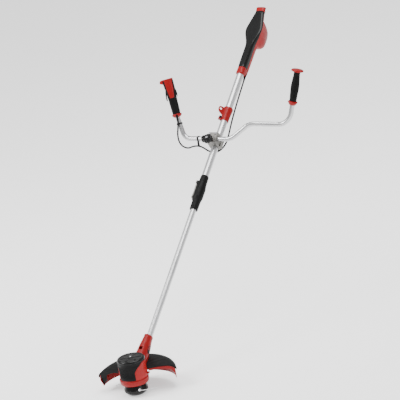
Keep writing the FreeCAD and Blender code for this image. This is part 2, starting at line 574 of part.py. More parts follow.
# ======================= harness bracket ==================================
hb = revt([(UPPER_OD / 2 - 1, 1266), (17.6, 1266), (18.2, 1288), (20, 1318), (20.3, 1329), (19.4, 1331), (UPPER_OD / 2 - 1, 1331)])
lug_ = prism([(-12, 1287, -3.2), (-12, 1327, -3.2), (-36, 1327, -3.2), (-41, 1323, -3.2), (-41, 1311, -3.2), (-36, 1303, -3.2)], (0, 0, 6.4))
lug_ = lug_.cut(cyl(5.5, (-31.5, 1317, -10), (0, 0, 1), 20))
ear = box(-28, -10, 1268, 1282, -8, 8)
hscr = cyl(2.5, (-23, 1275, -7), (0, 0, 1), 15).fuse(cyl(4.6, (-23, 1275, 8), (0, 0, 1), 3.4))
hbk = hb.fuse([lug_, ear]).cut(cyl(UPPER_OD / 2 + RUN, (0, 1250, 0), (0, 1, 0), 100)).cut(hscr).cut(box(-40, -14, 1260, 1283, -0.8, 0.8))
rot = lambda s: (s.rotate(O, Y, 45), s)[1]
hbk, hscr = hbk.copy(), hscr.copy()
hbk.rotate(O, Y, 45)
hscr.rotate(O, Y, 45)
hbk.translate(V(0, -12, 0))
hscr.translate(V(0, -12, 0))
save("harness_bracket", loc(hbk))
save("harness_screw", loc(hscr))

# ======================= rear housing =====================================
def housing(o):
    """Three outlines crossed: side, plan and front; o shrinks it all round."""
    cx, cn, rb = 1708.0, -30.0, 52.0 - o
    belly = [(cx + rb * math.cos(w), cn + rb * math.sin(w)) for w in [math.pi + (math.pi + 0.1) * i / 16 for i in range(17)]]
    pts = [(1492 + o, -19 + o), (1502 + o, -19.5 + o), (1507 + o, -31 + o), (1545, -32.5 + o), (1646 + o, -33 + o)] + belly
    pts += [(1760 - o, -3 + o), (1762 - o, 1 + o), (1790, 3 + o), (1831 - o, 6 + o), (1831 - o, 23.5 - o), (1800, 23 - o), (1722, 21.5 - o),
            (1688, 20 - o), (1640, 17.8 - o), (1562, 18.9 - o), (1492 + o, 18.9 - o)]
    side = prism([(-60, t, n) for t, n in pts], (120, 0, 0))
    pl = [(1492 + o, 17.8 - o), (1505, 18.6 - o), (1640, 19.6 - o), (1665, 26 - o), (1698, 37.5 - o), (1724, 40 - o), (1798, 22.5 - o), (1808, 20.5 - o), (1831 - o, 23 - o)]
    plan = prism([(x, t, -120) for t, x in pl] + [(-x, t, -120) for t, x in reversed(pl)], (0, 0, 200))
    fr = [(41 - o, 40), (41 - o, 0), (38.5 - o, -26), (34 - o, -62), (24 - o, -86), (-24 + o, -86), (-34 + o, -62), (-38.5 + o, -26), (-41 + o, 0), (-41 + o, 40)]
    frn = prism([(x, 1400, n) for x, n in fr], (0, 600, 0))
    return side.common(plan).common(frn)


H0 = housing(0)
H0f = fillet(H0, 3.5)
print("housing fillet", H0f.Volume != H0.Volume)
H3 = housing(2.8)
tube_in = cyl(UPPER_OD / 2, (0, 1480, 0), (0, 1, 0), 80)
bulk = H0f.common(box(-60, 60, 1493, 1543, -60, 60))
hollow = H0f.cut(H3).fuse(bulk).cut(tube_in)
edge = [(1524, -17), (1560, -17), (1640, -11), (1664, -3), (1692, 10), (1722, 14), (1790, 11), (1810, 10)]
lid = prism([(-60, 1524, 60)] + [(-60, t, n) for t, n in edge] + [(-60, 1810, 60)], (120, 0, 0))
endc = box(-60, 60, 1810, 1900, -60, 60)
cable_cut = pipe(up_w, CABLE_R)
cover = hollow.common(lid)
shell = hollow.cut(lid).cut(endc)
endcap = hollow.common(endc)
shell_w = loc(shell).cut(cable_cut)
save("rear_shell", big(shell_w))
save("rear_top_cover", big(loc(cover)))
save("rear_end_cap", big(loc(endcap)))
board = box(-19, 19, 1676, 1744, -20, -18.4).fuse([box(-16, -6, 1690, 1700, -18.4, -10), box(4, 14, 1700, 1722, -18.4, -6), box(-12, 2, 1728, 1740, -18.4, -12)])
ribs = box(-34, 34, 1684, 1688, -23, -20).fuse(box(-34, 34, 1732, 1736, -23, -20)).common(H0)
save("control_board", loc(board.fuse(ribs.common(H3))))
# guide rail under the tail for the battery pack, with its three contact blades
rear_rail = box(-12, 12, 1764, 1826, -6, 12).cut(H0)
rear_rail = rear_rail.cut(box(-6, 6, 1778, 1840, -7, -3.4)).cut(box(-9, 9, 1778, 1840, -3.4, 0))
term = []
for x in (-5, 0, 5):
    term.append(box(x - 0.6, x + 0.6, 1774, 1788, -2.6, -0.6))
for q in term:
    rear_rail = rear_rail.cut(q)
save("battery_rail", loc(big(rear_rail)))
save("battery_terminals", loc(Part.makeCompound(term)))
print(len(NODES), "nodes")
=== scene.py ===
import bpy
import bmesh
import json
import math
from mathutils import Vector, Matrix, Quaternion

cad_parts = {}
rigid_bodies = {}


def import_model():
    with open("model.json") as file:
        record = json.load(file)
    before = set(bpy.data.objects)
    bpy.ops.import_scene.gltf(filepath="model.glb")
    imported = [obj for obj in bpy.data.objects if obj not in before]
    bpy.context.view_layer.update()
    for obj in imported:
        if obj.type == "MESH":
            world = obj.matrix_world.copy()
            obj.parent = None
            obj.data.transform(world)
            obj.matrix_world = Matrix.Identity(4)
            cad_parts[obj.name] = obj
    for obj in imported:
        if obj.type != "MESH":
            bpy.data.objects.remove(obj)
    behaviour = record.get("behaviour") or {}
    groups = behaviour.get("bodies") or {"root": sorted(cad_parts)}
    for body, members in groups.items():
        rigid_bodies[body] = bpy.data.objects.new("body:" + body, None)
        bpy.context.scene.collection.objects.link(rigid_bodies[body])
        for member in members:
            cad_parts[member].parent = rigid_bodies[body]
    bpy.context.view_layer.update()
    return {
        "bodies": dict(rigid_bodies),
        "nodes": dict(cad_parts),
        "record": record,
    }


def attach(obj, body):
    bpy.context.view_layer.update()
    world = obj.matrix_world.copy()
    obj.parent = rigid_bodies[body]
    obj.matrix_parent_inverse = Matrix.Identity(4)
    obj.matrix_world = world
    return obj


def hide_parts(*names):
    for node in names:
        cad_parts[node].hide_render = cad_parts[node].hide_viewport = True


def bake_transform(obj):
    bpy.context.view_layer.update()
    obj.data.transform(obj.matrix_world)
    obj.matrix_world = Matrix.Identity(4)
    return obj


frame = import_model()
NODES, BODIES = frame["nodes"], frame["bodies"]

# ------------------------------------------------------------------ frames
TH = math.radians(36.0)
CS, SN = math.cos(TH), math.sin(TH)
SDIR = Vector((0, CS, SN))
NDIR = Vector((0, -SN, CS))


def lv(x, t, n):
    """Shaft frame in mm to the row frame in m."""
    return Vector((x, t * CS - n * SN, 59 + t * SN + n * CS)) / 1000


B0 = lv(0, 1145, 32)


def bo(x, y, z):
    return B0 + Vector((x, y, z)) / 1000


SH = Matrix(((1, 0, 0, 0), (0, CS, -SN, 0), (0, SN, CS, 0.059), (0, 0, 0, 1)))   # shaft frame (x, t, n), metres


def pframe(origin, zdir, xhint):
    z = Vector(zdir).normalized()
    x = (Vector(xhint) - z * Vector(xhint).dot(z)).normalized()
    y = z.cross(x)
    m = Matrix.Identity(4)
    for i in range(3):
        m[i][0], m[i][1], m[i][2], m[i][3] = x[i], y[i], z[i], origin[i]
    return m


GL0, GL1 = Vector((-175, 27, 100)), Vector((-212, 60, 246))
GR0, GR1 = Vector((356, 85, 128)), Vector((390, 115, 269))
PL = pframe(B0 + GL0 / 1000, GL1 - GL0, (-0.85, -0.5, 0))
PR = pframe(B0 + GR0 / 1000, GR1 - GR0, (0, -1, 0))

# ------------------------------------------------------------------ camera
DIST = 14.0
CAM_T = Vector((0, 0.740, 0.599))
az, el, ro = math.radians(32.48097), math.radians(18.71297), math.radians(-10.13909)
C0 = Vector((math.sin(az) * math.cos(el), -math.cos(az) * math.cos(el), math.sin(el)))
r0 = Vector((math.cos(az), math.sin(az), 0))
v0 = C0.cross(r0)
R0 = r0 * math.cos(ro) + v0 * math.sin(ro)
V0 = v0 * math.cos(ro) - r0 * math.sin(ro)
cam_data = bpy.data.cameras.new("camera")
cam_data.sensor_width = 36.0
cam_data.lens = 3367.41093 * 36.0 / 400.0
cam_data.clip_end = 60
cam = bpy.data.objects.new("camera", cam_data)
bpy.context.scene.collection.objects.link(cam)
pos = CAM_T + R0 * (0.00350753 - 1.4 * DIST / 3367.41093) - V0 * (0.05015048 - 0.8 * DIST / 3367.41093) + C0 * DIST
cm = Matrix.Identity(4)
for i in range(3):
    cm[i][0], cm[i][1], cm[i][2], cm[i][3] = R0[i], V0[i], C0[i], pos[i]
cam.matrix_world = cm
bpy.context.scene.camera = cam


# --------------------------------------------------------------- materials
def nodes_of(name):
    m = bpy.data.materials.new(name)
    m.use_nodes = True
    nt = m.node_tree
    for n in list(nt.nodes):
        nt.nodes.remove(n)
    out = nt.nodes.new("ShaderNodeOutputMaterial")
    b = nt.nodes.new("ShaderNodeBsdfPrincipled")
    nt.links.new(b.outputs[0], out.inputs[0])
    return m, nt, b


def coords(nt, scale=(1, 1, 1), rot=(0, 0, 0)):
    tc = nt.nodes.new("ShaderNodeTexCoord")
    mp = nt.nodes.new("ShaderNodeMapping")
    mp.inputs["Scale"].default_value = scale
    mp.inputs["Rotation"].default_value = rot
    nt.links.new(tc.outputs["Object"], mp.inputs["Vector"])
    return mp.outputs[0]


def noise(nt, vec, scale, detail=4, rough=0.55):
    n = nt.nodes.new("ShaderNodeTexNoise")
    n.inputs["Scale"].default_value = scale
    n.inputs["Detail"].default_value = detail
    n.inputs["Roughness"].default_value = rough
    nt.links.new(vec, n.inputs["Vector"])
    return n.outputs["Fac"]


def ramp(nt, fac, stops):
    r = nt.nodes.new("ShaderNodeValToRGB")
    el = r.color_ramp.elements
    while len(el) < len(stops):
        el.new(0.5)
    for e, (p, c) in zip(el, stops):
        e.position = p
        e.color = (*c, 1) if len(c) == 3 else c
    nt.links.new(fac, r.inputs[0])
    return r.outputs[0]


def grey(nt, fac, a, b, lo=0.0, hi=1.0):
    m = nt.nodes.new("ShaderNodeMapRange")
    m.inputs["From Min"].default_value = lo
    m.inputs["From Max"].default_value = hi
    m.inputs["To Min"].default_value = a
    m.inputs["To Max"].default_value = b
    nt.links.new(fac, m.inputs["Value"])
    return m.outputs[0]


def mix(nt, fac, a, b):
    m = nt.nodes.new("ShaderNodeMix")
    m.data_type = "RGBA"
    nt.links.new(fac, m.inputs[0])
    for s, v in ((6, a), (7, b)):
        if isinstance(v, tuple):
            m.inputs[s].default_value = (*v, 1)
        else:
            nt.links.new(v, m.inputs[s])
    return m.outputs[2]


def bump(nt, b, h, strength, dist, prev=None):
    n = nt.nodes.new("ShaderNodeBump")
    n.inputs["Strength"].default_value = strength
    n.inputs["Distance"].default_value = dist
    nt.links.new(h, n.inputs["Height"])
    if prev is None:
        bv = nt.nodes.new("ShaderNodeBevel")
        bv.samples = 4
        bv.inputs["Radius"].default_value = 0.0009
        prev = bv.outputs[0]
    nt.links.new(prev, n.inputs["Normal"])
    nt.links.new(n.outputs[0], b.inputs["Normal"])
    return n.outputs[0]


def edge_wear(nt, lo=0.5, hi=0.62):
    g = nt.nodes.new("ShaderNodeNewGeometry")
    return grey(nt, g.outputs["Pointiness"], 0, 1, lo, hi)


def plastic(name, col, dark, worn, rough=(0.28, 0.42), grain=900, gstr=0.25, spec=0.5, coat=0.0):
    m, nt, b = nodes_of(name)
    v = coords(nt)
    big = noise(nt, v, 14, 3)
    fine = noise(nt, v, grain, 2, 0.7)
    base = ramp(nt, big, [(0.3, dark), (0.7, col)])
    wear = edge_wear(nt, 0.53, 0.66)
    spots = noise(nt, v, 70, 5, 0.7)
    mul = nt.nodes.new("ShaderNodeMath")
    mul.operation = "MULTIPLY"
    nt.links.new(wear, mul.inputs[0])
    nt.links.new(spots, mul.inputs[1])
    nt.links.new(mix(nt, mul.outputs[0], base, worn), b.inputs["Base Color"])
    nt.links.new(grey(nt, noise(nt, v, 45, 5, 0.65), rough[0], rough[1], 0.3, 0.7), b.inputs["Roughness"])
    b.inputs["Specular IOR Level"].default_value = spec
    b.inputs["Coat Weight"].default_value = coat
    b.inputs["Coat Roughness"].default_value = 0.12
    bump(nt, b, fine, gstr, 0.0002)
    return m


def metal(name, col, dark, rough=(0.25, 0.4), scale=(1, 1, 1), grain=300, gstr=0.15, rot=(0, 0, 0), metallic=1.0):
    m, nt, b = nodes_of(name)
    v = coords(nt, scale, rot)
    f = noise(nt, v, grain, 4, 0.6)
    v2 = coords(nt)
    big = noise(nt, v2, 9, 3)
    base = ramp(nt, big, [(0.3, dark), (0.7, col)])
    fleck = ramp(nt, f, [(0.35, (0.86, 0.86, 0.86)), (0.6, (1, 1, 1))])
    mm = nt.nodes.new("ShaderNodeMix")
    mm.data_type = "RGBA"
    mm.blend_type = "MULTIPLY"
    mm.inputs[0].default_value = 1.0
    nt.links.new(base, mm.inputs[6])
    nt.links.new(fleck, mm.inputs[7])
    nt.links.new(mm.outputs[2], b.inputs["Base Color"])
    b.inputs["Metallic"].default_value = metallic
    nt.links.new(grey(nt, f, rough[0], rough[1], 0.3, 0.7), b.inputs["Roughness"])
    bump(nt, b, f, gstr, 0.0001)
    return m


RED = plastic("red_shell", (0.26, 0.0009, 0.0019), (0.21, 0.0007, 0.0015), (0.40, 0.01, 0.01), (0.34, 0.46), 1100, 0.12, 0.2, 0.05)
RED_M = plastic("red_matte", (0.25, 0.0009, 0.0019), (0.20, 0.0007, 0.0015), (0.38, 0.01, 0.01), (0.42, 0.55), 800, 0.2, 0.18)
RED_D = plastic("red_shaded", (0.20, 0.004, 0.007), (0.10, 0.003, 0.005), (0.30, 0.03, 0.03), (0.42, 0.55), 800, 0.2, 0.3)
BLACK = plastic("black_shell", (0.0036, 0.0036, 0.0038), (0.0022, 0.0022, 0.0023), (0.02, 0.02, 0.02), (0.42, 0.58), 1400, 0.3, 0.13)
BLACK_G = plastic("black_gloss", (0.0028, 0.0029, 0.003), (0.0018, 0.0018, 0.0019), (0.02, 0.02, 0.02), (0.22, 0.34), 900, 0.1, 0.2, 0.04)
RUBBER = plastic("grip_rubber", (0.004, 0.004, 0.0041), (0.0026, 0.0026, 0.0027), (0.016, 0.016, 0.016), (0.55, 0.75), 600, 0.45, 0.12)
CABLE = plastic("cable_jacket", (0.0055, 0.0055, 0.006), (0.0035, 0.0035, 0.0038), (0.015, 0.015, 0.015), (0.4, 0.55), 500, 0.2, 0.3)
TUBE = metal("tube_alu", (0.66, 0.66, 0.665), (0.56, 0.56, 0.57), (0.26, 0.38), (60, 1.2, 60), 30, 0.1, (-TH, 0, 0), 0.85)
BAR = metal("bar_alu", (0.58, 0.58, 0.585), (0.46, 0.46, 0.47), (0.22, 0.34), (1, 1, 1), 700, 0.1)
CAST = metal("cast_alloy", (0.34, 0.33, 0.31), (0.07, 0.068, 0.064), (0.34, 0.6), (1, 1, 1), 110, 1.0)
STEEL = metal("zinc_steel", (0.72, 0.72, 0.74), (0.55, 0.55, 0.57), (0.18, 0.32), (1, 1, 1), 500, 0.2)
DARK_STEEL = metal("black_oxide", (0.06, 0.06, 0.065), (0.03, 0.03, 0.033), (0.3, 0.45), (1, 1, 1), 500, 0.2)
IRON = metal("lamination", (0.30, 0.17, 0.09), (0.16, 0.09, 0.05), (0.35, 0.5), (1, 1, 900), 2, 0.4)
BOARD = plastic("board", (0.02, 0.12, 0.05), (0.01, 0.08, 0.03), (0.2, 0.3, 0.2), (0.3, 0.4), 300, 0.2)
LINE = plastic("line_nylon", (0.78, 0.79, 0.8), (0.62, 0.63, 0.65), (0.9, 0.9, 0.9), (0.2, 0.3), 400, 0.1)

MAT = {"red_plastic": RED, "black_plastic": BLACK, "black_rubber": RUBBER, "tube_aluminium": TUBE, "cast_alloy": CAST,
       "steel": STEEL, "copper_iron": IRON, "line_nylon": LINE, "cable_jacket": CABLE, "board": BOARD}
slot_of = {s["node"]: s["material_slot"] for s in frame["record"]["subparts"]}


def paint(o, m):
    if not o.material_slots:
        o.data.materials.append(m)
    for s in o.material_slots:
        s.material = m


for n, o in NODES.items():
    paint(o, MAT[slot_of[n]])
for n in ("handlebar_tube",):
    paint(NODES[n], BAR)
for n in ("bump_button", "spool_drum", "spool_cap"):
    paint(NODES[n], BLACK_G)
for n in ("neck_screws", "guard_screws", "harness_screw", "line_cutter"):
    paint(NODES[n], DARK_STEEL)


# ------------------------------------------------------------ mesh helpers
def link(o):
    bpy.context.scene.collection.objects.link(o)
    return o


def mesh_obj(name, verts, faces, mat, smooth=True, matrix=None):
    me = bpy.data.meshes.new(name)
    me.from_pydata([tuple(v) for v in verts], [], faces)
    me.validate()
    me.update()
    o = link(bpy.data.objects.new(name, me))
    me.materials.append(mat)
    if smooth:
        for p in me.polygons:
            p.use_smooth = True
    if matrix is not None:
        me.transform(matrix)
        me.update()
    fix_normals(o)
    return o


def fix_normals(o):
    bm = bmesh.new()
    bm.from_mesh(o.data)
    bmesh.ops.recalc_face_normals(bm, faces=bm.faces)
    bm.to_mesh(o.data)
    bm.free()


def mods(o, bevel=None, sub=0, angle=35):
    if bevel:
        m = o.modifiers.new("bevel", "BEVEL")
        m.width = bevel
        m.segments = 2
        m.limit_method = "ANGLE"
        m.angle_limit = math.radians(angle)
        m.harden_normals = False
    if sub:
        s = o.modifiers.new("sub", "SUBSURF")
        s.levels = s.render_levels = sub
    return o


def lathe(name, prof, mat, matrix=None, seg=96, scale=0.001, smooth=True, warp=None):
    """Closed (r, h) outline in mm turned about Z; warp(r, a, h) may move points."""
    verts, faces = [], []
    n = len(prof)
    for i in range(seg):
        a = 2 * math.pi * i / seg
        for r, h in prof:
            rr, hh = (r, h) if warp is None else warp(r, a, h)
            verts.append((rr * math.cos(a) * scale, rr * math.sin(a) * scale, hh * scale))
    for i in range(seg):
        j = (i + 1) % seg
        for k in range(n):
            l = (k + 1) % n
            faces.append((i * n + k, j * n + k, j * n + l, i * n + l))
    return mesh_obj(name, verts, faces, mat, smooth, matrix)


def loft(name, rings, mat, caps=True, smooth=True, matrix=None):
    n = len(rings[0])
    verts = [v for r in rings for v in r]
    faces = []
    for i in range(len(rings) - 1):
        for k in range(n):
            l = (k + 1) % n
            faces.append((i * n + k, i * n + l, (i + 1) * n + l, (i + 1) * n + k))
    if caps:
        faces.append(tuple(range(n)))
        faces.append(tuple((len(rings) - 1) * n + k for k in range(n)))
    return mesh_obj(name, verts, faces, mat, smooth, matrix)


def block(name, pts, thick, mat, matrix=None, bevel=0.0006, axis=2):
    """Polygon outline (mm) given thickness between two values along an axis."""
    lo, hi = thick
    def p3(a, b, c):
        q = [a, b]
        q.insert(axis, c)
        return [x / 1000 for x in q]
    n = len(pts)
    verts = [p3(a, b, lo) for a, b in pts] + [p3(a, b, hi) for a, b in pts]
    faces = [tuple(range(n)), tuple(range(n, 2 * n))] + [(k, (k + 1) % n, n + (k + 1) % n, n + k) for k in range(n)]
    o = mesh_obj(name, verts, faces, mat, True, matrix)
    return mods(o, bevel)


def auto_smooth(o, deg=35):
    try:
        for p in o.data.polygons:
            p.use_smooth = True
        o.data.set_sharp_from_angle(angle=math.radians(deg))
    except Exception:
        pass
    return o


# ------------------------------------------------------------------- cords
def route_curve(name, pts, r=None):
    cu = bpy.data.curves.new(name, "CURVE")
    cu.dimensions = "3D"
    sp = cu.splines.new("NURBS")
    sp.points.add(len(pts) - 1)
    for p, q in zip(sp.points, pts):
        p.co = (*q, 1)
    sp.order_u = 3
    sp.use_endpoint_u = True
    sp.resolution_u = 16
    if r:
        cu.bevel_depth = r
        cu.bevel_resolution = 6
        cu.use_fill_caps = True
    return link(bpy.data.objects.new(name, cu))


def spline_points(pts):
    o = route_curve("tmp_route", pts)
    bpy.context.view_layer.update()
    me = bpy.data.meshes.new_from_object(o)
    out = [Vector(v.co) for v in me.vertices]
    bpy.data.objects.remove(o)
    return out


def tube_along(name, path, r, mat, seg=16, close=True):
    """Mesh tube round a path, with frames carried along it."""
    rings = []
    t0 = (path[1] - path[0]).normalized()
    u = t0.orthogonal().normalized()
    for i, p in enumerate(path):
        t = (path[min(i + 1, len(path) - 1)] - path[max(i - 1, 0)]).normalized()
        u = (u - t * u.dot(t)).normalized()
        w = t.cross(u)
        rings.append([p + (u * math.cos(2 * math.pi * k / seg) + w * math.sin(2 * math.pi * k / seg)) * r for k in range(seg)])
    return loft(name, rings, mat, close)


cable_route = [lv(12, 1512, -17), lv(16, 1472, -16), lv(18.5, 1400, -15), lv(22.5, 1330, -14), lv(27, 1260, -14), lv(35, 1190, -15),
               bo(31, 35, -40), bo(7, 12, -63), bo(-28, 0, -60),
               bo(-62, -7, -30), bo(-98, -8, -30), bo(-130, -8, -43), bo(-163, -8, -25), bo(-169, -7, 14), bo(-161, -2, 53), bo(-160, 4, 83), bo(-167, 13, 101)]
cable_path = spline_points(cable_route)
cable = tube_along("control_cable", cable_path, 0.0035, CABLE)
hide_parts("cable_upper", "cable_lower")
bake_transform(cable)

line_local = [(40, 0, 30), (57, 0, 30), (66, 22, 30), (69.5, 45, 29), (70.5, 66, 27)]
for nm, k in (("trimmer_line_a", 0), ("trimmer_line_b", 180)):
    a = math.radians(-42.0 + k)
    rt = [Vector((x * math.cos(a) - y * math.sin(a), x * math.sin(a) + y * math.cos(a), z)) / 1000 for x, y, z in line_local]
    path = spline_points(rt)
    t = tube_along("line_" + nm[-1], path, 0.0012, LINE, 10)
    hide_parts(nm)
    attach(t, "spool")

# ------------------------------------------------------------------- stage
def stage_floor():
    s = 12.0
    rings = []
    me = bpy.data.meshes.new("floor")
    bm = bmesh.new()
    n = 24
    for i in range(n + 1):
        for j in range(n + 1):
            bm.verts.new((-s + 2 * s * i / n, -s + 2 * s * j / n, -0.0005))
    bm.verts.ensure_lookup_table()
    for i in range(n):
        for j in range(n):
            a = i * (n + 1) + j
            bm.faces.new([bm.verts[k] for k in (a, a + n + 1, a + n + 2, a + 1)])
    bm.to_mesh(me)
    bm.free()
    o = link(bpy.data.objects.new("floor", me))
    m, nt, b = nodes_of("floor_pale")
    v = coords(nt)
    nt.links.new(ramp(nt, noise(nt, v, 3, 3), [(0.3, (0.96, 0.96, 0.96)), (0.7, (0.975, 0.975, 0.975))]), b.inputs["Base Color"])
    b.inputs["Roughness"].default_value = 0.9
    b.inputs["Emission Color"].default_value = (1, 1, 1, 1)
    b.inputs["Emission Strength"].default_value = 0.7
    me.materials.append(m)
    return o


floor = stage_floor()
w = bpy.data.worlds.new("studio")
bpy.context.scene.world = w
w.use_nodes = True
w.node_tree.nodes["Background"].inputs[0].default_value = (1, 1, 1, 1)
w.node_tree.nodes["Background"].inputs[1].default_value = 0.75


def area(name, loc, aim, size, energy, sy=None):
    d = bpy.data.lights.new(name, "AREA")
    d.shape = "RECTANGLE"
    d.size = size
    d.size_y = sy or size
    d.energy = energy
    o = link(bpy.data.objects.new(name, d))
    o.location = loc
    o.rotation_euler = (Vector(aim) - Vector(loc)).to_track_quat("-Z", "Y").to_euler()
    return o


area("key", (-2.6, -1.2, 3.4), (0, 0.7, 0.5), 1.8, 180)
area("fill", (3.4, -0.6, 1.6), (0, 0.7, 0.5), 1.6, 30)
area("top", (0.3, 0.9, 4.4), (0, 0.8, 0.5), 2.6, 170)

# @@PIECES@@
BODY_OF = {n: bd for bd, ns in frame["record"]["behaviour"]["bodies"].items() for n in ns}


def stand(piece, *nodes):
    """The piece stands for these CAD nodes and rides on their body."""
    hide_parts(*nodes)
    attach(piece, BODY_OF[nodes[0]])


# ------------------------------------------------------------ rear housing
def lerp_tab(tab, t):
    if t <= tab[0][0]:
        return tab[0][1]
    for (a, va), (b, vb) in zip(tab, tab[1:]):
        if t <= b:
            k = (t - a) / (b - a)
            return va + (vb - va) * k
    return tab[-1][1]


W_TAB = [(1492, 17.6), (1505, 18.4), (1640, 19.4), (1652, 22.2), (1665, 25.8), (1682, 32.2), (1698, 36.8), (1711, 39.0), (1724, 39.4), (1740, 36.0), (1770, 29.0), (1798, 22.3), (1808, 20.4), (1816, 20.6), (1830.6, 22.6)]
TOP_TAB = [(1492, 18.6), (1562, 18.6), (1640, 17.6), (1688, 19.7), (1722, 21.2), (1800, 22.7), (1830.6, 23.2)]
EDGE_TAB = [(1492, -10), (1560, -9), (1640, -6), (1664, -1), (1680, 4), (1692, 9.8), (1706, 13.0), (1722, 14), (1790, 11), (1831, 9)]
FR_TAB = [(-86, 23.6), (-62, 33.6), (-26, 38.1), (0, 40.7), (40, 40.7)]


def bot(t):
    if t < 1502:
        return -19 - 0.5 * (t - 1492) / 10
    if t < 1507:
        return -19.5 - 11.2 * (t - 1502) / 5
    base = -30.8 - 2.0 * min(1, (t - 1507) / 139)
    if t < 1656.5:
        return base
    if t <= 1759.5:
        c = math.sqrt(max(0.0, 51.6 ** 2 - (t - 1708) ** 2))
        return min(base if t < 1708 else -3, -30 - c) if abs(t - 1708) < 51.5 else (base if t < 1708 else -20)
    return 1.4 + 5.2 * min(1, (t - 1762) / 69)


def half(t, n):
    return min(lerp_tab(W_TAB, t), lerp_tab(FR_TAB, n))


def se(v, p):
    return math.copysign(abs(v) ** (2 / p), v)


def ring_low(t, inset=0.0, m=25, p=3.4):
    e, b = lerp_tab(EDGE_TAB, t), bot(t)
    depth = max(2.0, e - b) - inset
    out = []
    for i in range(m):
        a = math.pi * i / (m - 1)
        n = e - depth * abs(math.sin(a)) ** (2 / p)
        x = (half(t, n) - inset) * se(math.cos(a), p)
        out.append(SH @ Vector((x / 1000, t / 1000, n / 1000)))
    return out


def ring_top(t, inset=0.0, m=25, p=3.6, lift=0.35):
    e, tp = lerp_tab(EDGE_TAB, t) + lift, lerp_tab(TOP_TAB, t)
    out = []
    for i in range(m):
        a = math.pi * i / (m - 1)
        n = e + (tp - inset - e) * abs(math.sin(a)) ** (2 / p)
        x = (half(t, min(n, 39)) - inset) * se(math.cos(a), p)
        out.append(SH @ Vector((x / 1000, t / 1000, n / 1000)))
    return out


def ring_full(t, inset=0.0, m=24, p=3.2):
    b, tp = bot(t), lerp_tab(TOP_TAB, t)
    mid, hh = (b + tp) / 2, (tp - b) / 2 - inset
    w_ = half(t, mid) - inset
    out = []
    for i in range(2 * m):
        a = math.pi * i / m
        out.append(SH @ Vector((w_ * se(math.cos(a), p) / 1000, t / 1000, (mid + hh * se(math.sin(a), p)) / 1000)))
    return out


def tloft(name, fn, ts, mat, insets=None):
    rings = [fn(t, *(() if insets is None else (insets[i],))) for i, t in enumerate(ts)]
    o = loft(name, rings, mat, True)
    auto_smooth(o, 42)
    return o


ts_low = [1524.3, 1525, 1545, 1570, 1600, 1630, 1646, 1656, 1657, 1659, 1662, 1666, 1671, 1678, 1686, 1696, 1708, 1720, 1730, 1738, 1744, 1749, 1753, 1756, 1758.3, 1759.3, 1763, 1770, 1780, 1795, 1808.6, 1809.4]
ins = [1.0] + [0.0] * (len(ts_low) - 2) + [0.8]
red_low = tloft("rear_shell_skin", ring_low, ts_low, RED, ins)
stand(red_low, "rear_shell")
ts_top = [1524.6, 1525.6, 1545, 1570, 1600, 1630, 1642, 1652, 1660, 1668, 1676, 1684, 1692, 1700, 1710, 1722, 1734, 1750, 1770, 1790, 1800, 1807.8, 1809]
ins = [1.2, 0.2] + [0.0] * (len(ts_top) - 4) + [0.2, 1.2]
blk_top = tloft("rear_cover_skin", ring_top, ts_top, BLACK_G, ins)
stand(blk_top, "rear_top_cover")
# raised middle panel of the cover
pan = []
for t in [1536, 1538, 1570, 1610, 1640, 1656, 1672, 1688, 1704, 1722, 1740, 1765, 1790, 1797, 1799]:
    w_ = lerp_tab(W_TAB, t) - (6.5 if t < 1650 else 9.5)
    tp = lerp_tab(TOP_TAB, t)
    k = 0.5 if t in (1536, 1799) else 0.0
    row = []
    for x, n in ((-w_ - 1.2, tp - 1.6), (-w_, tp + 0.15 - k), (-w_ * 0.5, tp + 0.28 - k), (0, tp + 0.3 - k), (w_ * 0.5, tp + 0.28 - k), (w_, tp + 0.15 - k), (w_ + 1.2, tp - 1.6), (0, tp - 2.4)):
        row.append(SH @ Vector((x / 1000, t / 1000, n / 1000)))
    pan.append(row)
panel = loft("rear_cover_panel", pan, BLACK, True)
auto_smooth(panel, 30)
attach(panel, "rear_half")
ts_c = [1492.2, 1493.2, 1497, 1501.5, 1504, 1507.5, 1512, 1518, 1523.2, 1524.0]
collar = tloft("rear_collar", ring_full, ts_c, RED, [1.0, 0.2] + [0.0] * 6 + [0.2, 0.9])
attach(collar, "rear_half")
ts_e = [1810.2, 1811.0, 1816, 1823, 1828, 1830, 1830.8]
tail = tloft("rear_tail_cap", ring_full, ts_e, RED, [0.9, 0.1, 0, 0, 0.2, 0.9, 2.2])
stand(tail, "rear_end_cap")
# ------------------------------------------------------------------- guard
G0, G1 = 28.0, 182.0


def deck_z(phi):
    u = (phi - 105.0) / 77.0
    return 108 - 16 * u * u - 7 * u


def gpt(r, z, phi):
    u = (phi - 105.0) / 77.0
    dr = 8 * max(0.0, -u) ** 1.5
    r = r + dr * max(0, r - 62) / 100
    a = math.radians(phi)
    return Vector((r * math.cos(a), r * math.sin(a), z)) / 1000


def deck_prof(phi, k=0.0):
    z0 = deck_z(phi) - k
    u = (phi - 105.0) / 77.0
    zr = z0 - 18 - 6 * u * u + k
    return [(57.4, z0 - 0.5), (60, z0 + 0.1), (72, z0 + 1.2), (86, z0 + 2.3), (100, z0 + 2.9), (120, z0 + 2.9), (140, z0 + 1.9), (150, z0 - 0.7), (158, z0 - 4.2),
            (163.5, z0 - 8.6), (166.6, z0 - 13.6), (167.6, zr + 1.2), (167.3, zr + 0.2), (165.6, zr + 0.2), (164.6, z0 - 14.4), (160.5, z0 - 9.6), (156, z0 - 7.2), (140, z0 - 0.8), (100, z0 + 0.2), (60, z0 - 2.6), (57.4, z0 - 2.8)]


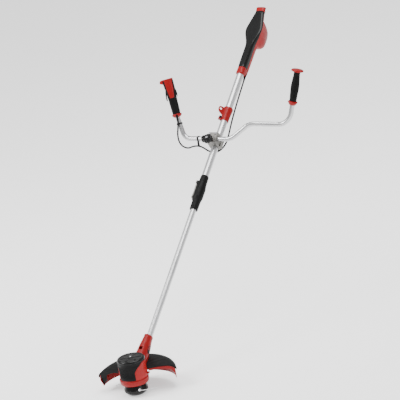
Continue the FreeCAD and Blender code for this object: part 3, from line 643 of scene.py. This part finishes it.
N = 70
rings = []
for i in range(N + 1):
    phi = G0 + (G1 - G0) * i / N
    pr = deck_prof(phi)
    # radial stiffening ribs pressed in the deck
    rib = 0.0
    for c in (52, 66, 144, 158, 172):
        rib = max(rib, math.exp(-((phi - c) / 1.5) ** 2))
    pts = []
    for j, (r, z) in enumerate(pr):
        lift = 0.9 * rib if 1 < j < 7 else 0
        pts.append(gpt(r, z + lift, phi))
    rings.append(pts)
deck = loft("deck_skin", rings, BLACK, True)
auto_smooth(deck, 34)
stand(deck, "guard_deck")


def radial_wall(name, phi, th, prof_top, prof_bot, mat, body):
    """Wall across the guard at one bearing: top and bottom lines as (r, z)."""
    front = [gpt(r, z, phi) for r, z in prof_top] + [gpt(r, z, phi) for r, z in reversed(prof_bot)]
    nrm = Vector((-math.sin(math.radians(phi)), math.cos(math.radians(phi)), 0)) * th / 1000
    n = len(front)
    m = len(prof_top)
    verts = front + [q + nrm for q in front]
    faces = []
    for a, b in ((0, 0), (n, n)):
        for k in range(m - 1):
            faces.append((a + k, a + k + 1, a + n - 2 - k, a + n - 1 - k))
    faces += [(k, (k + 1) % n, n + (k + 1) % n, n + k) for k in range(n)]
    o = mesh_obj(name, verts, faces, mat)
    mods(o, 0.0006)
    auto_smooth(o, 30)
    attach(o, body)
    return o


# the black rim turned down at both ends of the deck
for phi, nm in ((G0 + 0.05, "right"), (G1 - 1.15, "left")):
    z0 = deck_z(phi)
    u = (phi - 105.0) / 77.0
    zr = z0 - 18 - 6 * u * u
    if nm == "right":
        tp = [(122, z0 + 2.6), (140, z0 + 1.6), (150, z0 - 1.0), (158, z0 - 4.6), (164, z0 - 9.6), (167, z0 - 15)]
        bt = [(122, z0 - 0.6), (140, z0 - 3.2), (150, z0 - 7.6), (157, z0 - 13.5), (162, z0 - 19.5), (166.4, zr + 0.6)]
    else:
        tp = [(90, z0 + 2.4), (120, z0 + 2.6), (140, z0 + 1.6), (150, z0 - 1.0), (158, z0 - 4.6), (166.5, z0 - 14)]
        bt = [(90, z0 - 1.4), (120, z0 - 9.0), (138, z0 - 22), (148, z0 - 27), (157, z0 - 28), (166.2, zr + 0.6)]
    radial_wall("deck_rim_" + nm, phi, 1.9 if nm == "right" else 2.2, tp, bt, BLACK, "lower_unit")


def skirt_prof(phi):
    z0 = deck_z(phi)
    u = (phi - 105.0) / 77.0
    zb = 31 + (10 * u * u if u < 0 else -7 * u * u)
    rb = 158.5 - (10 * u ** 4 if u > 0 else 0)
    zt = z0 - 15
    zm = (zt + zb) / 2
    return [(157, zt + 0.8), (160, zt - 1.6), (161.6, zt - 4), (162.4, zm + 6), (162.4, zm), (rb + 3.6, zb + 6), (rb + 2.9, zb + 0.6), (rb + 2.4, zb + 0.1), (rb + 0.9, zb + 0.1), (rb + 0.5, zb + 0.8),
            (159.4, zm), (158.8, zt - 4), (157.8, zt - 2.2)]


rings = [[gpt(r, z, G0 + 0.3 + (G1 - 0.6 - G0) * i / 60) for r, z in skirt_prof(G0 + 0.3 + (G1 - 0.6 - G0) * i / 60)] for i in range(61)]
skirt = loft("skirt_skin", rings, RED, True)
auto_smooth(skirt, 34)
stand(skirt, "guard_skirt")
zl = deck_z(G0 + 2)
o = radial_wall("skirt_lip_right", G0 + 0.4, 2.6, [(64, zl - 4.4), (80, zl - 3.0), (100, zl - 1.9), (122, zl - 3.4), (140, zl - 5.6), (150, zl - 9.8), (157, zl - 15.4), (160.4, zl - 22)],
                [(64, zl - 13), (80, zl - 12), (100, zl - 12), (122, zl - 13.4), (140, zl - 17.5), (150, zl - 24), (157, zl - 38), (160.2, zl - 54)], RED, "skirt")
# the closed left end of the skirt, where the cutter sits; it is made black and large as painted shade, standing for
# the shadow inside the red skirt
z0 = deck_z(180)
o = radial_wall("skirt_end_left", 178.9, 2.0, [(132, z0 - 14), (140, z0 - 17.5), (150, z0 - 20), (160.5, z0 - 24)], [(134, 56), (141, 44), (147, 28.5), (156, 30)], BLACK, "skirt")
zz = deck_z(170)
for k, ph in enumerate((44, 64, 84, 104, 124, 144, 164)):
    z0 = deck_z(ph)
    u = (ph - 105.0) / 77.0
    zb = 31 + (10 * u * u if u < 0 else -7 * u * u)
    radial_wall("skirt_rib_%d" % k, ph, 1.8, [(150, z0 - 10.5), (157.5, z0 - 15.5)], [(155, zb + 18), (158.6, zb + 12)], RED, "skirt")

# --------------------------------------------------------------- motor cap
def pan_half(z):
    x = lerp_tab([(73, 36.0), (108, 36.0), (122, 43.6), (133, 51.6), (143, 55.8)], z)
    return math.degrees(math.asin(min(0.995, x / 57.2)))


cols, rows_ = 181, 30
front_v, faces = [], []
for i in range(rows_ + 1):
    z = 74.2 + (143.4 - 74.2) * i / rows_
    ha = pan_half(z)
    for j in range(cols):
        d = -ha + 2 * ha * j / (cols - 1)
        r = 57.0
        zone = 1.0 if 84 < z < 130 else 0.0
        fade = max(0.0, min(1.0, min(z - 82, 132 - z) / 4.0))
        if abs(d) < 34:
            ph = (d / 4.6) % 1.0
            ridge = 0.5 - 0.5 * math.cos(2 * math.pi * ph)
            r += fade * (1.5 * ridge - 1.7)
        if 132 < z < 137:
            r -= 0.9
        edge = min(abs(abs(d) - ha), 1.0)
        r -= 0.8 * (1 - edge)
        a = math.radians(-90 + d)
        front_v.append((r * math.cos(a) / 1000, r * math.sin(a) / 1000, z / 1000))
nf = len(front_v)
for i in range(rows_ + 1):
    z = 74.2 + (143.4 - 74.2) * i / rows_
    ha = pan_half(z)
    for j in range(cols):
        d = -ha + 2 * ha * j / (cols - 1)
        a = math.radians(-90 + d)
        front_v.append((54.1 * math.cos(a) / 1000, 54.1 * math.sin(a) / 1000, z / 1000))
for i in range(rows_):
    for j in range(cols - 1):
        a, b = i * cols + j, (i + 1) * cols + j
        faces.append((a, a + 1, b + 1, b))
        faces.append((nf + a, nf + b, nf + b + 1, nf + a + 1))
for i in range(rows_):
    for j in (0, cols - 1):
        a, b = i * cols + j, (i + 1) * cols + j
        faces.append((a, b, nf + b, nf + a))
for j in range(cols - 1):
    faces.append((j, j + 1, nf + j + 1, nf + j))
    a = rows_ * cols + j
    faces.append((a, a + 1, nf + a + 1, nf + a))
grille = mesh_obj("motor_grille", front_v, faces, BLACK)
auto_smooth(grille, 50)
dome = lathe("motor_dome", [(0.01, 155), (38, 154), (50, 151), (53, 147), (54.2, 143.3), (57, 143.6), (57.2, 144.6), (56.4, 145.4), (56.2, 146.2), (57.2, 147.2), (57.4, 149), (56.6, 152),
                            (54.4, 154.8), (51, 156.6), (47.5, 157.2), (45.6, 156.6), (44.4, 155.9), (42, 155.9), (28, 156.4), (15, 156.9), (13.2, 157.5), (12, 158.3), (8, 158.5), (0.01, 158.5)], BLACK_G, seg=128)
auto_smooth(dome, 40)
stand(dome, "motor_cap")
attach(grille, "lower_unit")
# shallow spokes on the top of the cap
for k in range(6):
    a = math.radians(30 + 60 * k)
    pts = [(16, -2.2), (42, -3.4), (42, 3.4), (16, 2.2)]
    o = block("cap_spoke_%d" % k, [(x * math.cos(a) - y * math.sin(a), x * math.sin(a) + y * math.cos(a)) for x, y in pts], (156.0, 157.3), BLACK_G, None, 0.0005)
    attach(o, "lower_unit")

# ------------------------------------------------- black ovals on the neck, painted shade for its dark recess and slot
def neck_half(t):
    return lerp_tab([(97, 28.5), (130, 24.5), (165, 20.5), (198, 17.5)], t)


for sg in (-1, 1):
    t = 136
    rings = []
    seg = 36
    for off, k in ((-3.0, 0.97), (0.4, 1.0), (0.9, 0.97), (0.9, 0.86), (0.1, 0.78), (0.1, 0.4)):
        ring_ = []
        for i in range(seg):
            dt = 19 * k * math.sin(2 * math.pi * i / seg)
            dn = 8.5 * k * math.cos(2 * math.pi * i / seg)
            hw = neck_half(t + dt) * math.sqrt(max(0.05, 1 - ((7 + dn - 5.5) / 28.5) ** 2))
            ring_.append(SH @ Vector((sg * (hw + off) / 1000, (t + dt) / 1000, (7 + dn) / 1000)))
        rings.append(ring_)
    # black shallow dish: painted shade standing for the shadow inside the neck recess and slot
    o = loft("neck_recess_shade_%s" % ("l" if sg < 0 else "r"), rings, BLACK, True)
    auto_smooth(o, 40)
    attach(o, "lower_unit")

# ------------------------------------------------------------------- grips
prof = [(10.2, 12.2), (14.6, 12.2), (15.4, 13.2)]
z = 14.0
while z < 132:
    base = lerp_tab([(12, 15.4), (22, 15.2), (40, 16.3), (62, 17.7), (80, 17.5), (102, 15.5), (120, 13.6), (136, 13.4)], z)
    if 24 < z < 116:
        prof += [(base, z), (base + 0.15, z + 2.0), (base - 0.75, z + 2.5), (base - 0.75, z + 3.1)]
        z += 3.6
    else:
        prof += [(base, z)]
        z += 3.0
prof += [(13.4, 134.8), (12.8, 135.8), (10.2, 135.8)]
g = lathe("right_grip_ribbed", prof, RUBBER, PR, 72, warp=lambda r, a, h: (r * (1 - 0.035 * (math.cos(2 * a) + 1) / 2), h) if r > 12 else (r, h))
auto_smooth(g, 32)
stand(g, "right_grip")
g = lathe("right_flange_skin", [(0.01, 137.6), (10, 137.6), (10.2, 136.2), (14, 136.2), (20, 137.6), (24.4, 139.6), (26, 141.6), (26.1, 143.2), (25.4, 144.8), (23, 146.4), (18, 147.6), (9, 148.4), (0.01, 148.7)], RED, PR, 72)
auto_smooth(g, 50)
stand(g, "right_grip_flange")
g = lathe("right_collar_skin", [(10.1, -4.8), (12.8, -4.8), (13.6, -4.0), (15.4, -1.4), (18, 2.8), (20.2, 6.6), (20.4, 7.8), (20.1, 9.3), (18.6, 10.4), (16.2, 11.7), (10.1, 11.9)], RED, PR, 72)
auto_smooth(g, 50)
stand(g, "right_collar")
# knob
kp = [(3.3, 48.6), (12, 48.6), (12.8, 49.2), (13.4, 51), (19.4, 52.8), (20.9, 54), (21.3, 55.4), (21.3, 63.4), (20.7, 65.2), (19, 67.2), (16.4, 67.9), (13.6, 67.2), (11, 67.2), (10, 68.6), (8.6, 69.2), (7.4, 68.8), (7, 67.4), (3.3, 67.4)]
KM = SH @ Matrix.Translation((-0.010, 1.128, 0)) @ Matrix.Identity(4)


def knob_warp(r, a, h):
    if r > 15:
        k = max(0.0, math.cos(9 * a))
        return r - 1.9 * (k ** 1.5) * (r - 15) / 6.3, h
    return r, h


g = lathe("knob_skin", kp, BLACK_G, KM, 216, warp=knob_warp)
auto_smooth(g, 40)
stand(g, "clamp_knob")

# ------------------------------------------------ strain reliefs of the cable
def relief(name, path, i0, i1, r0, r1, body):
    seg = 20
    pts = path[i0:i1 + 1]
    L = [0]
    for a, b in zip(pts, pts[1:]):
        L.append(L[-1] + (b - a).length)
    tot = L[-1]
    dense = []
    for k in range(37):
        s = tot * k / 36
        j = max(i for i, v in enumerate(L) if v <= s + 1e-12)
        j = min(j, len(pts) - 2)
        f = (s - L[j]) / max(1e-9, L[j + 1] - L[j])
        dense.append((pts[j].lerp(pts[j + 1], f), s / tot))
    rings = []
    u = None
    for i, (p, f) in enumerate(dense):
        t = (dense[min(i + 1, 36)][0] - dense[max(i - 1, 0)][0]).normalized()
        u = t.orthogonal().normalized() if u is None else (u - t * u.dot(t)).normalized()
        w_ = t.cross(u)
        r = r0 + (r1 - r0) * f
        if i % 4 in (2, 3) and i > 2:
            r -= 0.0006
        rings.append([p + (u * math.cos(2 * math.pi * k / seg) + w_ * math.sin(2 * math.pi * k / seg)) * r for k in range(seg)])
    o = loft(name, rings, RUBBER, True)
    auto_smooth(o, 50)
    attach(o, body)
    return o


def idx_len(path, s):
    d = 0
    for i, (a, b) in enumerate(zip(path, path[1:])):
        d += (b - a).length
        if d >= s:
            return i + 1
    return len(path) - 1


relief("relief_rear", cable_path, 0, idx_len(cable_path, 0.034), 0.0062, 0.0041, "rear_half")
rp = list(reversed(cable_path))
relief("relief_grip", rp, 0, idx_len(rp, 0.026), 0.0058, 0.0041, "handlebar")
